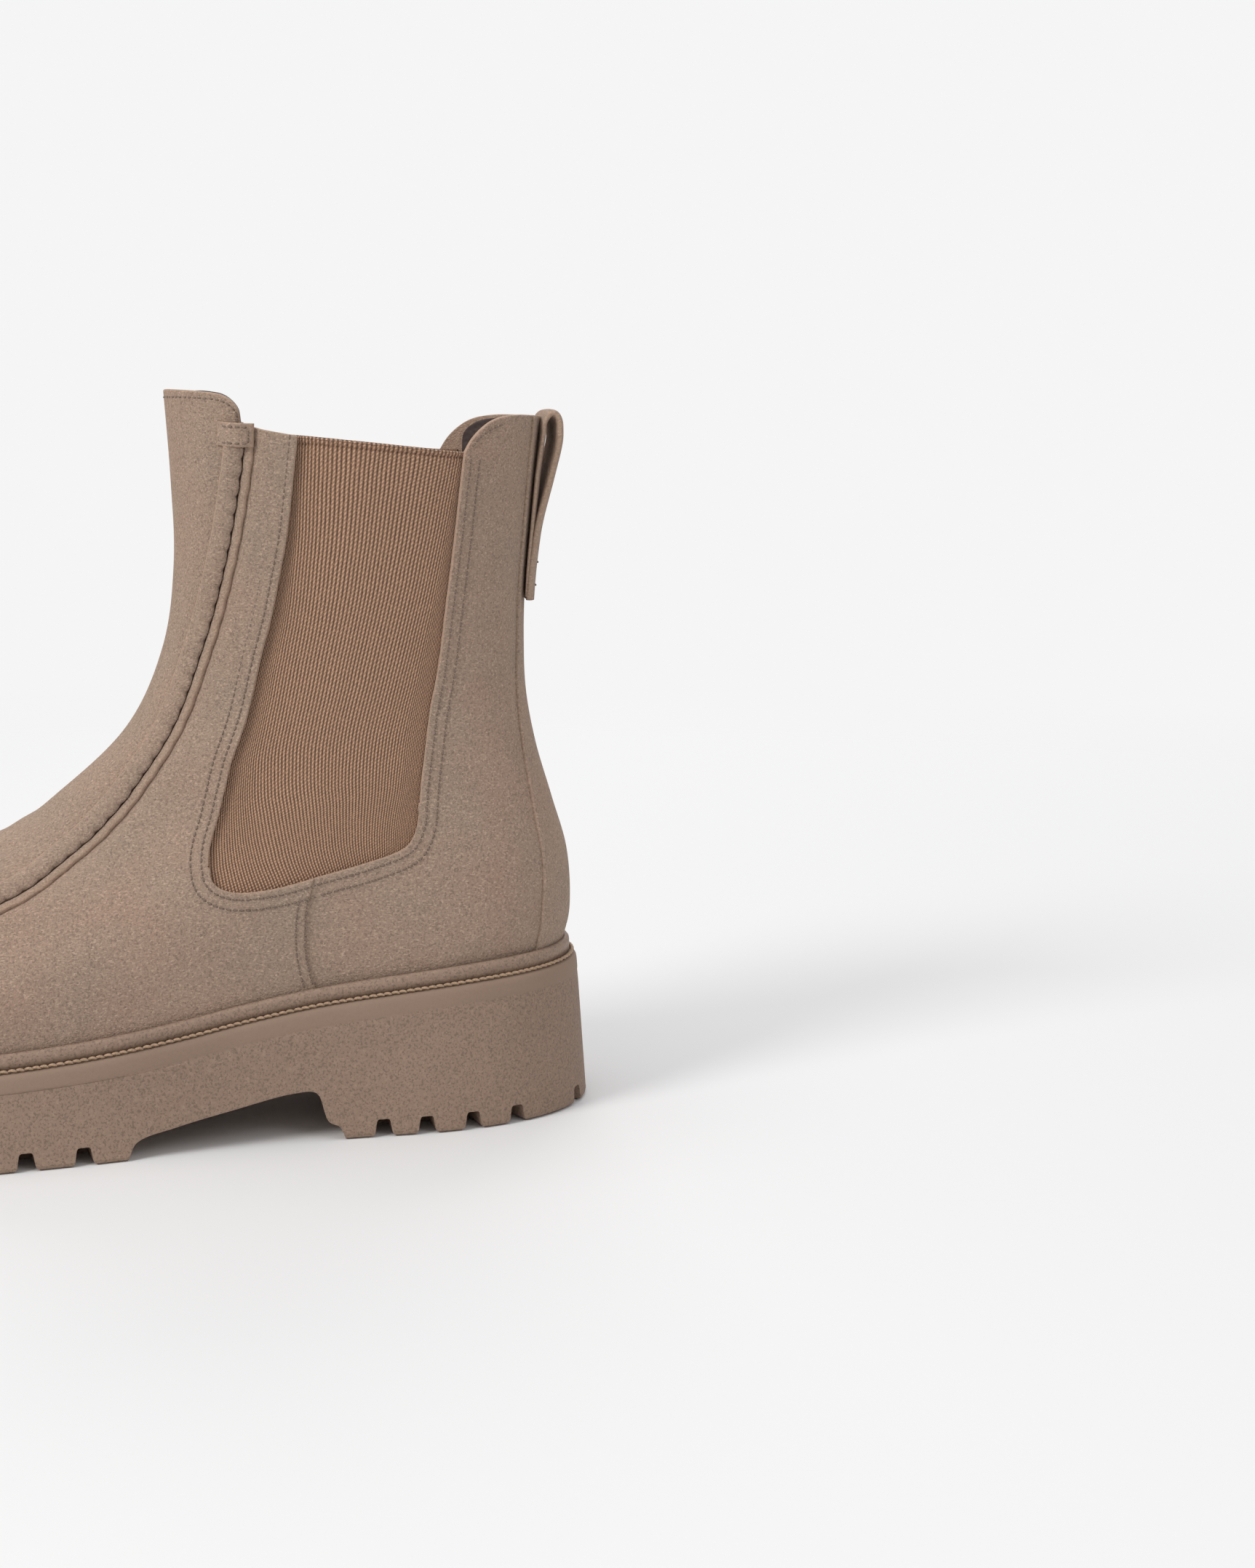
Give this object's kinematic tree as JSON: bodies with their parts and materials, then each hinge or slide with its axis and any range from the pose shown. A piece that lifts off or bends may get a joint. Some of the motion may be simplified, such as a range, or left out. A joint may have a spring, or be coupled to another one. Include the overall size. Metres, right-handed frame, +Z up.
{
  "type": "chelsea ankle boot",
  "caption": "Suede pull-on ankle boot for the left foot with elastic side gores, a raised apron seam, a back pull loop and a thick lugged rubber sole.",
  "frame": {"origin": "on the ground under the middle of the boot's bounding box", "axes": "+Z up, the toe points along -Y, the outer (lateral) side of the foot is +X"},
  "size_m": [0.1104, 0.2768, 0.2042],
  "materials": {
    "suede": "napped taupe suede",
    "elastic": "ribbed woven elastic",
    "lining_leather": "grained dark brown lining leather",
    "sole_rubber": "fine-grained matte rubber",
    "welt_rubber": "smooth satin rubber",
    "thread": "twisted waxed thread",
    "board": "pressed fibre board",
    "cork_filler": "granulated cork",
    "shank_steel": "sprung steel strip",
    "stiffener": "thermoplastic sheet"
  },
  "bodies": {
    "foot": {"outsole": "sole_rubber", "welt": "welt_rubber", "welt_stitching": "thread", "filler": "cork_filler", "shank": "shank_steel", "insole_board": "board", "footbed": "lining_leather", "heel_counter": "stiffener", "toe_puff": "stiffener", "vamp": "suede", "apron": "suede", "apron_roll": "suede", "seam_tab_lateral": "suede", "seam_tab_medial": "suede", "quarter_lower_lateral": "suede", "quarter_lower_medial": "suede", "gore_lateral": "elastic", "gore_medial": "elastic", "back_strip_lower": "suede", "front_lining": "lining_leather", "back_lining_lower": "lining_leather"},
    "shaft_back": {"quarter_upper_lateral": "suede", "quarter_upper_medial": "suede", "back_strip_upper": "suede", "back_lining_upper": "lining_leather", "pull_loop_base": "suede"},
    "loop": {"pull_loop": "suede"}
  },
  "joints": [
    {"name": "collar_open", "type": "hinge", "parent": "foot", "child": "shaft_back", "pos_m": [0, 0.11835, 0.092], "axis": [-1, 0, 0], "range_deg": [0, 8], "stiffness_Nm_per_rad": 12, "deforming": ["gore_lateral", "gore_medial"]},
    {"name": "pull_loop", "type": "hinge", "parent": "shaft_back", "child": "loop", "pos_m": [0, 0.1245, 0.1475], "axis": [-1, 0, 0], "range_deg": [0, 12], "stiffness_Nm_per_rad": 0.03}
  ]
}
